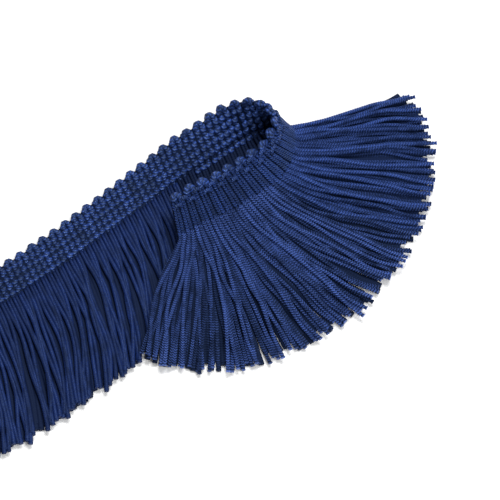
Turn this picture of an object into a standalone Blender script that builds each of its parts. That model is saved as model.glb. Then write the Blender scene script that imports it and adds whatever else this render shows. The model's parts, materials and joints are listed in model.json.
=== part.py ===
"""Chainette fringe trim, a cut length of about 240 mm lying on a table.

The tail lies flat with its fringe towards the viewer. Further right the looped
heading rises on its edge, turns back on itself in a tight bend and comes forward
as a leaning collar, whose fringe spreads over the table as a fan.

The spine table gives the looped rim and the way the ribs run at each station.
Each row of the lay tables says where the strands of a fringe point and rest.
Table lengths are in millimetres and angles in degrees; a bearing is counted
from +X towards +Y. Everything that is built is in metres, with +Z up.
"""

import math
import random
from typing import NamedTuple

import bmesh
import bpy
from mathutils import Vector

MM = 0.001

# Heading: a looped braid, measured down its ribs from the tops of the picots
RIB_LENGTH = 18.3 * MM
HEADING_END = 16.0 * MM
HALF_THICKNESS = 1.5 * MM
RIB_PITCH = 2.92 * MM
RIB_RELIEF = 0.3 * MM
PICOT_COLUMNS = 4
PICOT_NOTCH = 2.0 * MM
PICOT_BASE = 3.6 * MM
PICOT_WAIST = 1.6 * MM
PICOT_LEAST_RISE = 0.5 * MM

# Shares of the half thickness left in the notch between two picots, and added at a picot's middle
TIP_SHARES = (0.3, 0.35)
WAIST_SHARES = (0.62, 0.38)

# Places in the spine table between which the ribbed face comes off the table and gets its ribs
RIBS_APPEAR = (2.6, 4.5)

# Backing strips that hold the strands, parted from the heading's lower edge
PART_GAP = 0.3 * MM
STRIP_START = HEADING_END + PART_GAP

# Strands: chained cord, laid in two layers, each cut into straight runs. The bare numbers are
# shares of the strand's length or of its width and height at the tip, apart from the falls and
# the sway's rate
STRAND_WIDTH = 1.5 * MM
FAN_TIP_WIDTH = 1.9 * MM
STRAND_HEIGHT = 1.4 * MM
LAYER_RISE = 1.6 * MM
ROOT_INSET = 0.1 * MM
ROOT_RUN = 0.2
FLAT_CUTS = (0.12, 0.3, 0.62, 1.0)
FAN_CUTS = (0.05, 0.18, 0.4, 0.62, 0.84, 1.0)
DESCENT = 0.25
STEEPEST_FALLS = (14.0, 6.0)
ROOT_SHARE = 0.8
MOST_BEND = 0.45
LEAST_RUN = 0.2
LYING_FROM = 0.1
SWAY_RATE = 2.3
LENGTH_SPREAD = 0.035
SEED = 12

# How finely the spine is measured, and how far apart the points are that give a direction
SAMPLES_PER_STATION = 60
SPINE_STEP = 0.05
STRAND_STEP = 0.02


class Station(NamedTuple):
    """One cross-section of the heading: a picot top and the rib below it."""

    rim_x: float
    rim_y: float
    rim_z: float
    bearing: float
    dip: float


SPINE = (
    Station(-130.0, -26.6, 1.5, -66.0, 0.0),
    Station(-101.1, -7.3, 1.5, -66.0, 0.0),
    Station(-79.1, 9.6, 1.5, -66.0, 0.0),
    Station(-61.5, 24.7, 2.3, -66.0, 2.5),
    Station(-44.0, 39.0, 5.0, -66.0, 10.5),
    Station(-31.0, 48.5, 9.0, -66.0, 21.5),
    Station(-17.1, 56.2, 13.5, -66.0, 36.0),
    Station(-8.6, 59.8, 17.0, -65.0, 49.0),
    Station(-2.9, 60.3, 19.2, -58.0, 59.5),
    Station(2.85, 58.3, 20.7, -20.0, 69.0),
    Station(7.3, 54.3, 21.5, 9.0, 66.0),
    Station(9.4, 49.1, 21.5, 13.0, 60.0),
    Station(8.15, 44.2, 21.0, 8.0, 53.0),
    Station(5.3, 39.7, 20.2, -5.0, 45.0),
    Station(0.8, 35.8, 19.6, -28.0, 36.0),
    Station(-4.9, 31.9, 19.1, -42.0, 30.0),
    Station(-11.4, 27.4, 18.5, -51.0, 27.0),
    Station(-18.7, 23.7, 17.6, -60.0, 25.5),
    Station(-26.1, 20.0, 16.4, -69.0, 24.5),
    Station(-32.6, 16.1, 15.0, -78.0, 23.5),
)


class Lay(NamedTuple):
    """How the strands lie at one station.

    The aim is the bearing from root to tip and the reach is the distance. The bed is
    the height of what lies below, and off_bed the share of the length by which it is
    left. Where one_level is True, both layers lie side by side at the tips. The bow is
    1 where a strand swings round from its rib's own direction to its aim, and negative
    where it is pushed out to the other side.
    """

    at: float
    aim: float
    reach: float
    bed: float
    off_bed: float
    one_level: bool
    bow: float = 1.0


class Fringe(NamedTuple):
    """One backing strip with its strands, which are cut into runs at shares of their length."""

    name: str
    pitch: float
    tip_width: float
    cuts: tuple
    wander: float
    lays: tuple


FRINGES = (
    Fringe(
        "fringe_tail", 2.3 * MM, STRAND_WIDTH, FLAT_CUTS, 1.1 * MM,
        (
            Lay(0.0, -75.0, 61.0, 0.0, 0.9, False),
            Lay(2.3, -75.5, 59.0, 0.0, 0.9, False),
            Lay(4.6, -77.0, 59.5, 0.0, 0.9, False),
        ),
    ),
    Fringe(
        "fringe_inner", 2.6 * MM, STRAND_WIDTH, FLAT_CUTS, 0.5 * MM,
        (
            Lay(4.6, -77.0, 59.5, 0.0, 0.9, False),
            Lay(6.3, -74.0, 59.0, 0.0, 0.9, False),
            Lay(8.0, -56.0, 54.0, 0.0, 0.3, True),
            Lay(9.4, -14.0, 45.0, 0.0, 0.3, True),
        ),
    ),
    Fringe(
        "fringe_right", 1.6 * MM, FAN_TIP_WIDTH, FAN_CUTS, 0.8 * MM,
        (
            Lay(10.0, 19.0, 50.5, 2.5, 0.92, False),
            Lay(11.5, 7.5, 55.0, 2.2, 0.92, False),
            Lay(13.0, -3.5, 58.0, 1.9, 0.92, False),
            Lay(14.5, -17.0, 61.5, 2.8, 0.9, False),
        ),
    ),
    Fringe(
        "fringe_front", 1.6 * MM, FAN_TIP_WIDTH, FAN_CUTS, 0.8 * MM,
        (
            Lay(14.5, -17.0, 61.5, 2.8, 0.9, False),
            Lay(16.0, -38.0, 65.0, 3.5, 0.9, True),
            Lay(17.5, -65.0, 65.5, 3.5, 0.86, True),
            Lay(19.0, -104.0, 56.0, 3.5, 1.15, True, -0.42),
        ),
    ),
)

FINISHES = {
    "heading": ((0.024, 0.036, 0.150, 1.0), 0.55),
    "fringe_tail": ((0.014, 0.021, 0.100, 1.0), 0.42),
    "fringe_inner": ((0.013, 0.019, 0.090, 1.0), 0.45),
    "fringe_right": ((0.020, 0.031, 0.145, 1.0), 0.42),
    "fringe_front": ((0.023, 0.036, 0.165, 1.0), 0.42),
}


def unit(bearing, dip=0.0):
    """The unit vector that points along a bearing and down by a dip, both in degrees."""
    turn, fall = math.radians(bearing), math.radians(dip)
    return Vector((math.cos(fall) * math.cos(turn), math.cos(fall) * math.sin(turn), -math.sin(fall)))


def ease(low, high, value):
    """0 below low and 1 above high, with a smooth rise between them."""
    share = min(max((value - low) / (high - low), 0.0), 1.0)
    return share * share * (3.0 - 2.0 * share)


def slope_at(values, index):
    """The slope of a curve through evenly numbered values, held back so that it never overshoots."""
    if index in (0, len(values) - 1):
        return 0.0 if len(values) < 3 else values[min(index + 1, len(values) - 1)] - values[max(index - 1, 0)]
    before = values[index] - values[index - 1]
    after = values[index + 1] - values[index]
    if before * after <= 0.0:
        return 0.0
    mean = (before + after) / 2.0
    return math.copysign(min(abs(mean), 2.0 * abs(before), 2.0 * abs(after)), mean)


def along(values, place):
    """The smooth curve through a list of values, read at a fractional place in the list."""
    index = min(int(place), len(values) - 2)
    t = place - index
    start, end = values[index], values[index + 1]
    leave, arrive = slope_at(values, index), slope_at(values, index + 1)
    return (
        (2 * t**3 - 3 * t**2 + 1) * start
        + (t**3 - 2 * t**2 + t) * leave
        + (3 * t**2 - 2 * t**3) * end
        + (t**3 - t**2) * arrive
    )


RIM_COLUMNS = [[getattr(row, name) * MM for row in SPINE] for name in ("rim_x", "rim_y", "rim_z")]
RIB_COLUMNS = [[unit(row.bearing, row.dip)[axis] for row in SPINE] for axis in range(3)]
LAST = len(SPINE) - 1


class Frame(NamedTuple):
    """The heading at one place: its picot top, down its rib, out of its looped face, and along it."""

    rim: Vector
    down: Vector
    face: Vector
    forward: Vector

    def point(self, depth, out):
        """A point this far down the rib and this far out of the looped face."""
        return self.rim + self.down * depth + self.face * out


def rim_at(place):
    """The picot top at a place in the spine table."""
    return Vector([along(column, place) for column in RIM_COLUMNS])


def rib_at(place):
    """The way down the rib at a place in the spine table."""
    return Vector([along(column, place) for column in RIB_COLUMNS]).normalized()


def frame_at(place):
    """The heading's frame at a place in the spine table."""
    before, after = max(place - SPINE_STEP, 0.0), min(place + SPINE_STEP, LAST)
    middle = HEADING_END / 2.0
    forward = (rim_at(after) + rib_at(after) * middle) - (rim_at(before) + rib_at(before) * middle)
    down = rib_at(place)
    face = down.cross(forward).normalized()
    return Frame(rim_at(place), down, face, face.cross(down).normalized())


def even_places(start, end, depth, pitch, multiple=1):
    """Places spaced evenly along the line that runs at one depth below the rim."""
    count = max(int((end - start) * SAMPLES_PER_STATION), 2)
    places = [start + (end - start) * i / count for i in range(count + 1)]
    points = [rim_at(place) + rib_at(place) * depth for place in places]
    lengths = [0.0]
    for i in range(count):
        lengths.append(lengths[-1] + (points[i + 1] - points[i]).length)
    steps = max(multiple * round(lengths[-1] / pitch / multiple), multiple)
    result, i = [], 0
    for step in range(steps + 1):
        target = lengths[-1] * step / steps
        while i < count - 1 and lengths[i + 1] < target:
            i += 1
        share = (target - lengths[i]) / (lengths[i + 1] - lengths[i])
        result.append(places[i] + (places[i + 1] - places[i]) * share)
    return result


def extrude_through(bm, face, rings):
    """Extrudes a face from ring to ring. Returns the faces that it leaves behind, ring by ring."""
    walls = []
    for ring in rings:
        face = bmesh.ops.extrude_discrete_faces(bm, faces=[face])["faces"][0]
        for vert, point in zip(face.verts, ring):
            vert.co = point
        walls.append([next(other for other in edge.link_faces if other is not face) for edge in face.edges])
    return walls


def swept(bm, rings):
    """A closed solid through a list of rings of points. Returns its side faces, ring by ring."""
    first = bm.faces.new([bm.verts.new(point) for point in rings[0]])
    back = bm.faces.new([bm.verts.new(point) for point in reversed(rings[0])])
    walls = extrude_through(bm, first, rings[1:])
    ends = {vert for face in (back, *walls[0]) for vert in face.verts}
    bmesh.ops.remove_doubles(bm, verts=list(ends), dist=0.0001 * MM)
    return walls


def heading_ring(column, place):
    """The heading's outline across its width: the looped face first, then the ribbed one."""
    frame = frame_at(place)
    ridge = RIB_RELIEF if column % 2 else 0.0
    bead = math.sin(math.pi * (column % PICOT_COLUMNS) / PICOT_COLUMNS)
    freed = ease(*RIBS_APPEAR, place)
    flat = HALF_THICKNESS
    looped = HALF_THICKNESS - RIB_RELIEF + ridge
    ribbed = flat + (looped - flat) * freed
    top = PICOT_NOTCH * (1.0 - bead)
    waist = max(PICOT_WAIST, top + PICOT_LEAST_RISE)
    tip_half = HALF_THICKNESS * (TIP_SHARES[0] + TIP_SHARES[1] * bead)
    waist_half = HALF_THICKNESS * (WAIST_SHARES[0] + WAIST_SHARES[1] * bead)
    return [
        frame.point(HEADING_END, looped),
        frame.point(PICOT_BASE, looped - RIB_RELIEF / 2.0),
        frame.point(waist, waist_half),
        frame.point(top, tip_half),
        frame.point(top, -tip_half),
        frame.point(waist, -waist_half),
        frame.point(PICOT_BASE, -ribbed),
        frame.point(HEADING_END, -ribbed),
    ]


def build_heading():
    """The looped heading, from its cut tail to its cut free end."""
    bm = bmesh.new()
    places = even_places(0.0, LAST, 0.0, RIB_PITCH / 2.0, PICOT_COLUMNS)
    swept(bm, [heading_ring(column, place) for column, place in enumerate(places)])
    return bm


class StrandPath:
    """The line that one strand follows from its root on the strip to its cut tip."""

    def __init__(self, fringe, place, quarter, side, draw):
        frame = frame_at(place)
        aim_place = place - side * quarter
        self.fringe = fringe
        self.aim = self.lay_value("aim", aim_place)
        self.reach = self.lay_value("reach", place) * MM * (1.0 + draw.uniform(-LENGTH_SPREAD, LENGTH_SPREAD))
        self.bed = self.lay_value("bed", place) * MM
        self.off_bed = self.lay_value("off_bed", place)
        self.root = frame.point(RIB_LENGTH, side * HALF_THICKNESS / 2.0)
        self.line, self.cross = unit(self.aim), unit(self.aim + 90.0)
        self.turn = 1.0 if self.cross.dot(frame.forward) > 0.0 else -1.0
        self.upper = side * self.turn > 0.0
        self.one_level = [lay.one_level for lay in fringe.lays][self.lay_spot(place)[0]]
        step = frame_at(min(max(aim_place, 0.0), LAST)).point(RIB_LENGTH, 0.0) - frame.point(RIB_LENGTH, 0.0)
        start = Vector((frame.down.x, frame.down.y, 0.0))
        bend = start.dot(self.cross) / max(start.dot(self.line), LEAST_RUN)
        bend = min(max(bend, -MOST_BEND), MOST_BEND) * self.lay_value("bow", place)
        self.bend = bend * start.length
        self.sway = step.dot(self.cross) + fringe.wander * math.sin(place * SWAY_RATE)
        fall = -frame.down.z / max(start.length, LEAST_RUN)
        drop = max(self.root.z - self.lying(0.0), 0.1 * MM)
        self.fall = min(self.reach * fall / drop, STEEPEST_FALLS[self.upper])

    def lay_spot(self, place):
        """The lay row before a place on the spine, and how far it is to the next row."""
        stations = [lay.at for lay in self.fringe.lays]
        place = min(max(place, stations[0]), stations[-1])
        index = max(i for i, at in enumerate(stations[:-1]) if at <= place)
        return index, (place - stations[index]) / (stations[index + 1] - stations[index])

    def lay_value(self, name, place):
        """One column of the lay table, read at a place on the spine."""
        index, share = self.lay_spot(place)
        return along([getattr(lay, name) for lay in self.fringe.lays], index + share)

    def lying(self, share):
        """The height at which the strand lies on the table, or on the fringe below it."""
        low = STRAND_HEIGHT / 2.0
        level = low + (LAYER_RISE if self.upper else 0.0)
        settled = low if self.one_level else level
        down = ease(self.off_bed - DESCENT, self.off_bed, share)
        return (level + self.bed) * (1.0 - down) + settled * down

    def point(self, share):
        """The strand's middle at a share of its length from the root."""
        aside = self.bend * share * (1.0 - share) * self.reach + self.sway * share
        plan = self.line * (self.reach * share) + self.cross * aside
        height = self.lying(share) + (self.root.z - self.lying(0.0)) * math.exp(-self.fall * share)
        return Vector((self.root.x + plan.x, self.root.y + plan.y, height))

    def ring(self, share, corners):
        """The strand's cross-section, as one point for each corner of its root."""
        before, after = max(share - STRAND_STEP, 0.0), min(share + STRAND_STEP, 1.0)
        ahead = (self.point(after) - self.point(before)).normalized()
        if self.lying(share) == self.lying(1.0) and share > LYING_FROM:
            ahead = Vector((ahead.x, ahead.y, 0.0)).normalized()
        side = Vector((0.0, 0.0, 1.0)).cross(ahead).normalized() * self.turn
        up = ahead.cross(side)
        root_width = min(STRAND_WIDTH, self.fringe.pitch * ROOT_SHARE)
        width = root_width + (self.fringe.tip_width - root_width) * share
        height = STRAND_HEIGHT * (ROOT_SHARE + (1.0 - ROOT_SHARE) * ease(0.0, ROOT_RUN, share))
        middle = self.point(share)
        return [middle + side * (a * width / 2.0) + up * (b * height / 2.0) for a, b in corners]


def build_fringe(fringe, draw):
    """A backing strip with both layers of its strands drawn out of its lower face."""
    bm = bmesh.new()
    start, end = fringe.lays[0].at, fringe.lays[-1].at
    inner_gap = PART_GAP / RIB_PITCH / 4.0
    start += inner_gap if start else 0.0
    end -= inner_gap if end < LAST else 0.0
    places = even_places(start, end, RIB_LENGTH, fringe.pitch)
    rings = []
    for place in places:
        frame = frame_at(place)
        spots = ((STRIP_START, 1), (RIB_LENGTH, 1), (RIB_LENGTH, 0), (RIB_LENGTH, -1), (STRIP_START, -1))
        rings.append([frame.point(depth, out * HALF_THICKNESS) for depth, out in spots])
    walls = swept(bm, rings)
    for wall, before, after in zip(walls, places, places[1:]):
        place = (before + after) / 2.0
        frame = frame_at(place)
        for cell, side in ((wall[1], 1), (wall[2], -1)):
            bmesh.ops.inset_individual(bm, faces=[cell], thickness=ROOT_INSET, use_even_offset=True)
            middle = cell.calc_center_median()
            corners = []
            for vert in cell.verts:
                across = 1 if (vert.co - middle).dot(frame.forward) > 0.0 else -1
                out = 1 if (vert.co - middle).dot(frame.face) > 0.0 else -1
                corners.append((across, out))
            path = StrandPath(fringe, place, (after - before) / 4.0, side, draw)
            extrude_through(bm, cell, [path.ring(share, corners) for share in fringe.cuts])
    return bm


def clear_scene():
    """Takes out the objects of the start-up scene."""
    for thing in list(bpy.data.objects):
        bpy.data.objects.remove(thing, do_unlink=True)


def finish(name):
    """The plain dyed-yarn material of one node."""
    colour, roughness = FINISHES[name]
    material = bpy.data.materials.new(name + "_yarn")
    material.use_nodes = True
    shader = material.node_tree.nodes["Principled BSDF"]
    shader.inputs["Base Color"].default_value = colour
    shader.inputs["Roughness"].default_value = roughness
    shader.inputs["Metallic"].default_value = 0.0
    return material


def add_node(name, bm):
    """Turns a finished bmesh into the named object that holds one node."""
    bmesh.ops.recalc_face_normals(bm, faces=bm.faces[:])
    mesh = bpy.data.meshes.new(name)
    bm.to_mesh(mesh)
    bm.free()
    node = bpy.data.objects.new(name, mesh)
    node.data.materials.append(finish(name))
    bpy.context.scene.collection.objects.link(node)
    return node


def centre_on_origin(nodes):
    """Moves the meshes so that the origin is under the middle of the whole trim."""
    points = [vert.co for node in nodes for vert in node.data.vertices]
    low, high = ([limit(p[axis] for p in points) for axis in range(2)] for limit in (min, max))
    middle = Vector(((low[0] + high[0]) / 2.0, (low[1] + high[1]) / 2.0, 0.0))
    for node in nodes:
        for vert in node.data.vertices:
            vert.co -= middle
    print("middle of the trim in the spine table's frame, in mm:", [round(v / MM, 3) for v in middle])


def main():
    """Builds the heading and the four stretches of the fringe."""
    clear_scene()
    draw = random.Random(SEED)
    nodes = [add_node("heading", build_heading())]
    nodes += [add_node(fringe.name, build_fringe(fringe, draw)) for fringe in FRINGES]
    centre_on_origin(nodes)


main()
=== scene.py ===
"""Chainette fringe trim, curled on a pale table.

The heading is worked from pairs of chained cords. They run down its ribbed face, swell between the rows
of binding thread on its looped face, and turn over its top edge as picots. Below its lower edge the same
cords hang as strands: straight and flat at the tail, and spread out as a fan from the curled end.

Lengths in the tables are millimetres and angles are degrees. Everything that is built is in metres.
"""

from __future__ import annotations

import json
import logging
import math
import random
from dataclasses import dataclass
from enum import Enum

import bmesh
import bpy
import numpy as np
from bpy.types import ID, Material, Mesh, Node, NodeSocket, NodeTree, Object
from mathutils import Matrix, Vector

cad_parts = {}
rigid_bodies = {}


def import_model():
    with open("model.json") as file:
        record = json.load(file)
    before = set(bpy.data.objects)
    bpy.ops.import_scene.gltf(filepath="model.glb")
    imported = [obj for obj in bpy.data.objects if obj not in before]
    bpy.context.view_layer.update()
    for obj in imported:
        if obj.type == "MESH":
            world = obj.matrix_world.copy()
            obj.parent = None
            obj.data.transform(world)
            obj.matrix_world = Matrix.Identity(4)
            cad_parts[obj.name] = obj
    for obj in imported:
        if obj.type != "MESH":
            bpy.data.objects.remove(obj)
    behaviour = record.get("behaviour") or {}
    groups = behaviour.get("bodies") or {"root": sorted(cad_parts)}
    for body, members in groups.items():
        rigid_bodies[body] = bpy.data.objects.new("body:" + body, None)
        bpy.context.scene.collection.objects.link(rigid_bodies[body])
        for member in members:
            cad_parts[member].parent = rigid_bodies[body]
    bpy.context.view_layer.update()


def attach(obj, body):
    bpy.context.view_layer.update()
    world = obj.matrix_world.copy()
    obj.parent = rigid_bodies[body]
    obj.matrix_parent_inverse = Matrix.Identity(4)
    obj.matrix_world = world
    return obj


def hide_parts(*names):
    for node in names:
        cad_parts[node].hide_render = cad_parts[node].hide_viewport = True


LOG = logging.getLogger("chainette_fringe")
MM = 0.001
SEED = 31
Pair = tuple[float, float]
Numbers = np.ndarray | float


class Face(Enum):
    """The faces of the heading, by the way that each looks along the heading's own normal."""

    LOOPED = 1
    MIDDLE = 0
    RIBBED = -1


@dataclass(frozen=True)
class Station:
    """One cross-section of the heading: the top of a picot, and the bearing and dip of the rib below it."""

    rim_x: float
    rim_y: float
    rim_z: float
    bearing: float
    dip: float


STATIONS: tuple[Station, ...] = (
    Station(-130.0, -26.6, 1.5, -66.0, 0.0),
    Station(-101.1, -7.3, 1.5, -66.0, 0.0),
    Station(-79.1, 9.6, 1.5, -66.0, 0.0),
    Station(-61.5, 24.7, 2.3, -66.0, 2.5),
    Station(-44.0, 39.0, 5.0, -66.0, 10.5),
    Station(-31.0, 48.5, 9.0, -66.0, 21.5),
    Station(-17.1, 56.2, 13.5, -66.0, 36.0),
    Station(-8.6, 59.8, 17.0, -65.0, 49.0),
    Station(-2.9, 60.3, 19.2, -58.0, 59.5),
    Station(2.85, 58.3, 20.7, -20.0, 69.0),
    Station(7.3, 54.3, 21.5, 9.0, 66.0),
    Station(9.4, 49.1, 21.5, 13.0, 60.0),
    Station(8.15, 44.2, 21.0, 8.0, 53.0),
    Station(5.3, 39.7, 20.2, -5.0, 45.0),
    Station(0.8, 35.8, 19.6, -28.0, 36.0),
    Station(-4.9, 31.9, 19.1, -42.0, 30.0),
    Station(-11.4, 27.4, 18.5, -51.0, 27.0),
    Station(-18.7, 23.7, 17.6, -60.0, 25.5),
    Station(-26.1, 20.0, 16.4, -69.0, 24.5),
    Station(-32.6, 16.1, 15.0, -78.0, 23.5),
)
TABLE_MIDDLE = (-25.872, -15.461)


def unit(bearing: float, dip: float = 0.0) -> np.ndarray:
    """Gives the unit vector along a bearing from +X towards +Y, and down by a dip."""
    turn, fall = math.radians(bearing), math.radians(dip)
    return np.array((math.cos(fall) * math.cos(turn), math.cos(fall) * math.sin(turn), -math.sin(fall)))


def ease(low: float, high: float, value: Numbers) -> np.ndarray:
    """Gives 0 for values below low and 1 for those above high, with a smooth rise between them."""
    share = np.clip((np.asarray(value, float) - low) / (high - low), 0.0, 1.0)
    return share * share * (3.0 - 2.0 * share)


def bell(middle: float, reach: float, value: Numbers) -> np.ndarray:
    """Gives 1 for a value in the middle, with a smooth fall that reaches to either side."""
    return np.exp(-(((np.asarray(value, float) - middle) / reach) ** 2))


def read_rows(at: np.ndarray, known: np.ndarray, rows: np.ndarray) -> np.ndarray:
    """Reads vectors, one a row, at values between the known ones."""
    return np.stack([np.interp(at, known, rows[:, axis]) for axis in range(3)], axis=1)


def gone_along(points: np.ndarray) -> np.ndarray:
    """Gives the length gone at each point of a line."""
    return np.concatenate(([0.0], np.cumsum(np.linalg.norm(np.diff(points, axis=0), axis=1))))


def placed(name: str, data: ID) -> Object:
    """Puts an object into the scene, at the origin.

    Args:
        name: Its name.
        data: Its mesh, camera or light.

    Returns:
        The object.
    """
    thing = bpy.data.objects.new(name, data)
    bpy.context.scene.collection.objects.link(thing)
    return thing


def unit_rows(rows: np.ndarray) -> np.ndarray:
    """Scales each row of an array to length 1."""
    return rows / np.linalg.norm(rows, axis=-1, keepdims=True)


def hermite(values: np.ndarray, place: np.ndarray) -> np.ndarray:
    """Reads the smooth curve through evenly numbered rows, which never overshoots them.

    Args:
        values: One row for each whole place.
        place: Fractional places to read.

    Returns:
        One row for each place.
    """
    steps = np.diff(values, axis=0)
    slopes = np.zeros_like(values)
    slopes[0], slopes[-1] = steps[0], steps[-1]
    before, after = steps[:-1], steps[1:]
    mean = (before + after) / 2.0
    held = np.minimum(np.abs(mean), 2.0 * np.minimum(np.abs(before), np.abs(after)))
    slopes[1:-1] = np.where(before * after > 0.0, np.sign(mean) * held, 0.0)
    index = np.clip(place.astype(int), 0, len(values) - 2)
    t = (place - index)[:, None]
    risen = t * t * (3.0 - 2.0 * t)
    swung = t * (1.0 - t) * ((1.0 - t) * slopes[index] - t * slopes[index + 1])
    return (1.0 - risen) * values[index] + risen * values[index + 1] + swung


@dataclass(frozen=True)
class Frames:
    """The heading at many places: picot tops, ways down the ribs, out of the looped face, and along it."""

    rim: np.ndarray
    down: np.ndarray
    face: np.ndarray
    forward: np.ndarray

    def point(self, depth: Numbers, out: Numbers, aside: Numbers = 0.0) -> np.ndarray:
        """Gives points so far down the rib, out of the looped face and along the heading, one a row."""
        depth, out, aside = (np.broadcast_to(v, len(self.rim))[:, None] for v in (depth, out, aside))
        return self.rim + self.down * depth + self.face * out + self.forward * aside

    def repeated(self, count: int) -> Frames:
        """Repeats each frame, for the points of one line at one place."""
        return Frames(*(np.repeat(v, count, axis=0) for v in (self.rim, self.down, self.face, self.forward)))


class Spine:
    """The curve on which the heading stands, read at any place between two stations."""

    half_depth: float = 8.0 * MM
    nearby: float = 0.05

    def __init__(self) -> None:
        """Turns the station table into metres about the trim's middle."""
        middle = np.array((*TABLE_MIDDLE, 0.0))
        self.rims = (np.array([(s.rim_x, s.rim_y, s.rim_z) for s in STATIONS]) - middle) * MM
        self.ribs = np.array([unit(s.bearing, s.dip) for s in STATIONS])
        self.last = float(len(STATIONS) - 1)

    def rim_at(self, place: np.ndarray) -> np.ndarray:
        """Gives the picot tops at the places."""
        return hermite(self.rims, place)

    def down_at(self, place: np.ndarray) -> np.ndarray:
        """Gives the ways down the ribs at the places."""
        return unit_rows(hermite(self.ribs, place))

    def frames(self, place: Numbers) -> Frames:
        """Reads the heading's frames.

        Args:
            place: One place or many.

        Returns:
            The frames, one a row.
        """
        place = np.atleast_1d(np.asarray(place, float))
        before, after = (np.clip(place + by, 0.0, self.last) for by in (-self.nearby, self.nearby))
        forward = self.rim_at(after) + self.down_at(after) * self.half_depth
        forward -= self.rim_at(before) + self.down_at(before) * self.half_depth
        down = self.down_at(place)
        face = unit_rows(np.cross(down, forward))
        return Frames(self.rim_at(place), down, face, unit_rows(np.cross(face, down)))

    def spacing(self, places: np.ndarray, depth: float) -> np.ndarray:
        """Gives the distance between neighbours at one depth below the rim."""
        return np.linalg.norm(np.gradient(self.rim_at(places) + self.down_at(places) * depth, axis=0), axis=1)


@dataclass(frozen=True)
class Line:
    """The middle line of one cord, its outward direction, its section along the way, and its tone, lowered as
    painted shade under other cords.
    """

    points: np.ndarray
    out: np.ndarray
    half_width: np.ndarray
    half_height: np.ndarray
    tone: float


@dataclass(frozen=True)
class Cord:
    """A cord that is laid along any line. Every other ring of a chained one is drawn in between two links.

    relief is the share by which it is drawn in, slope the share of a link that rises, chevron how far a link
    points ahead at the sides, and slant the same for the pattern on a smooth cord.
    """

    sides: int
    step: float
    relief: float = 0.0
    chevron: float = 0.0
    smooth: bool = True
    slope: float = 0.5
    link: float = 1.1 * MM
    slant: float = 0.4

    def template(self, length: float) -> tuple[Mesh, np.ndarray, np.ndarray]:
        """Makes the straight cord that every copy is bent from.

        Args:
            length: Usual length of the cord, in metres.

        Returns:
            The mesh, the ring of each vertex counted from the root, and its angle round the cord.
        """
        rings = 2 * max(round(length / self.step / 2.0), 1) + 1
        links = (rings - 1) * self.step / self.link
        bm = bmesh.new()
        bmesh.ops.create_cone(
            bm, cap_ends=True, cap_tris=False, segments=self.sides, radius1=1.0, radius2=1.0, depth=1.0
        )
        long_edges = [edge for edge in bm.edges if abs(edge.verts[0].co.z - edge.verts[1].co.z) > 0.5]
        bmesh.ops.subdivide_edges(bm, edges=long_edges, cuts=rings - 2)
        layer = bm.loops.layers.uv.new("UVMap")
        for face in bm.faces:
            face.smooth = self.smooth and len(face.verts) == 4
            turns = [math.atan2(loop.vert.co.y, loop.vert.co.x) / math.tau for loop in face.loops]
            seam = max(turns) - min(turns) > 0.5 and len(turns) == 4
            for loop, turn in zip(face.loops, turns):
                turn += 1.0 if seam and turn < 0.0 else 0.0
                slip = self.slant * abs(loop.vert.co.x) if self.smooth else 0.0
                loop[layer].uv = (turn, (loop.vert.co.z + 0.5) * links + slip)
        mesh = bpy.data.meshes.new("cord_template")
        bm.to_mesh(mesh)
        bm.free()
        places = np.empty(len(mesh.vertices) * 3)
        mesh.vertices.foreach_get("co", places)
        places = places.reshape(-1, 3)
        ring = np.rint((places[:, 2] + 0.5) * (rings - 1)).astype(int)
        return mesh, ring, np.arctan2(places[:, 1], places[:, 0])

    def bent(self, line: Line, ring: np.ndarray, angle: np.ndarray) -> np.ndarray:
        """Bends the straight cord along a line.

        Args:
            line: Where it goes.
            ring: The ring of each vertex.
            angle: The angle of each vertex round the cord.

        Returns:
            The place of each vertex.
        """
        gone = gone_along(line.points)
        count = int(ring.max())
        along = gone[-1] * (ring + (2.0 * self.slope - 1.0) * (ring % 2)) / count
        inner = np.minimum(1.0, np.minimum(ring, count - ring))
        ahead = self.chevron * self.link * np.abs(np.cos(angle)) * inner
        at = np.clip(along - ahead, 0.0, gone[-1])
        ring_at = np.linspace(0.0, gone[-1], count + 1)
        middles = read_rows(ring_at, gone, line.points)
        tangent = unit_rows(np.gradient(middles, axis=0))
        side = unit_rows(np.cross(read_rows(ring_at, gone, line.out), tangent))
        up = np.cross(tangent, side)
        middle = read_rows(at, ring_at, middles)
        drawn = 1.0 - self.relief * (ring % 2)
        width = np.interp(at, gone, line.half_width) * drawn
        height = np.interp(at, gone, line.half_height) * drawn
        sideways, upwards = np.cos(angle) * width, np.sin(angle) * height
        return middle + side[ring] * sideways[:, None] + up[ring] * upwards[:, None]


def lay_cords(name: str, batches: list[tuple[Cord, list[Line]]]) -> Object:
    """Lays a cord along each line and joins them all into one piece.

    Args:
        name: Name of the finished piece.
        batches: The kinds of cord and where they go.

    Returns:
        The piece, at the origin.
    """
    bm = bmesh.new()
    places: list[np.ndarray] = []
    tones: list[np.ndarray] = []
    for cord, lines in batches:
        template, ring, angle = cord.template(np.mean([gone_along(line.points)[-1] for line in lines]))
        for line in lines:
            bm.from_mesh(template)
            places.append(cord.bent(line, ring, angle))
            tones.append(np.full(len(ring), line.tone))
        bpy.data.meshes.remove(template)
    mesh = bpy.data.meshes.new(name)
    bm.to_mesh(mesh)
    bm.free()
    mesh.vertices.foreach_set("co", np.concatenate(places).astype(np.float32).ravel())
    attribute = mesh.attributes.new("tone", "FLOAT", "POINT")
    attribute.data.foreach_set("value", np.concatenate(tones).astype(np.float32))
    mesh.update()
    triangles = sum(len(face.vertices) - 2 for face in mesh.polygons)
    LOG.info("%s: %d cords, %d triangles", name, len(places), triangles)
    return placed(name, mesh)


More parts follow.
